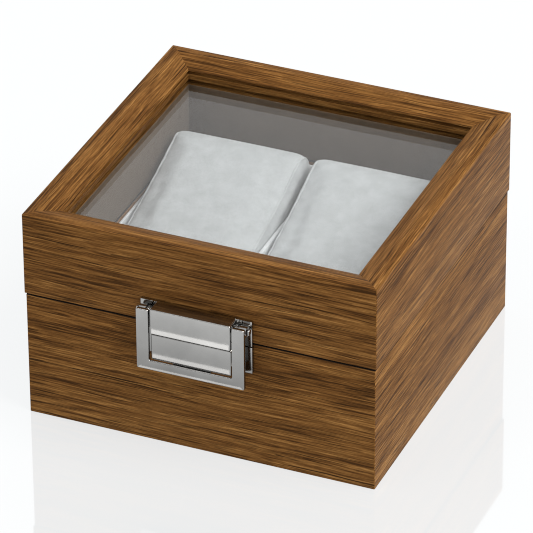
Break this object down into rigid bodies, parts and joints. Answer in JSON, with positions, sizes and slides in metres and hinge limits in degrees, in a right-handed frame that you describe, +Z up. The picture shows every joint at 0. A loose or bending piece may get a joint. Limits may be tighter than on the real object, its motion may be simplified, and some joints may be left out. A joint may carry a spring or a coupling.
{
  "type": "watch box",
  "caption": "Small wooden watch box with a hinged, glazed lid, a sprung front clasp and two lift-out pillows that lean forward.",
  "frame": {"origin": "centre of the underside, where the box rests", "axes": "+Z up; -Y is the front, where the clasp is; +X to the right seen from the front"},
  "size_m": [0.12, 0.1304, 0.074],
  "materials": {
    "walnut": "walnut grain wrapped over board, satin",
    "fibreboard": "plain fibreboard, unpainted",
    "felt": "short dark felt",
    "lining": "light grey flocked lining on board",
    "velvet": "light grey velvet over foam",
    "glass": "clear flat glass, polished",
    "nickel": "bright nickel plate",
    "steel": "plain bright steel"
  },
  "bodies": {
    "base": {"base_front_wall": "walnut", "base_back_wall": "walnut", "base_left_wall": "walnut", "base_right_wall": "walnut", "bottom_panel": "fibreboard", "underside_felt": "felt", "liner_front": "lining", "liner_back": "lining", "liner_left": "lining", "liner_right": "lining", "floor_liner": "lining", "divider": "lining", "hinge_left_base_leaf": "steel", "hinge_left_pin": "steel", "hinge_right_base_leaf": "steel", "hinge_right_pin": "steel", "hinge_screw_base_1": "steel", "hinge_screw_base_2": "steel", "hinge_screw_base_3": "steel", "hinge_screw_base_4": "steel", "clasp_base_plate": "nickel", "clasp_screw_base_1": "steel", "clasp_screw_base_2": "steel", "catch_spring": "steel"},
    "lid": {"lid_front_rail": "walnut", "lid_back_rail": "walnut", "lid_left_rail": "walnut", "lid_right_rail": "walnut", "glass_pane": "glass", "hinge_left_lid_leaf": "steel", "hinge_right_lid_leaf": "steel", "hinge_screw_lid_1": "steel", "hinge_screw_lid_2": "steel", "hinge_screw_lid_3": "steel", "hinge_screw_lid_4": "steel", "clasp_lid_plate": "nickel", "clasp_screw_lid_1": "steel", "clasp_screw_lid_2": "steel", "clasp_pin_left": "steel", "clasp_pin_right": "steel", "clasp_spring_left": "steel", "clasp_spring_right": "steel"},
    "clasp": {"clasp_frame": "nickel"},
    "pillow_left": {"pillow_left": "velvet"},
    "pillow_right": {"pillow_right": "velvet"}
  },
  "joints": [
    {"name": "lid_hinge", "type": "hinge", "parent": "base", "child": "lid", "pos_m": [0, 0.06155, 0.04465], "axis": [-1, 0, 0], "range_deg": [0, 100], "deforming": ["catch_spring"]},
    {"name": "clasp_flip", "type": "hinge", "parent": "lid", "child": "clasp", "pos_m": [0, -0.06255, 0.0509], "axis": [-1, 0, 0], "range_deg": [0, 92], "deforming": ["catch_spring"]},
    {"name": "pillow_left_lift", "type": "slide", "parent": "base", "child": "pillow_left", "axis": [0, 0, 1], "range_m": [0, 0.007]},
    {"name": "pillow_right_lift", "type": "slide", "parent": "base", "child": "pillow_right", "axis": [0, 0, 1], "range_m": [0, 0.007]}
  ]
}
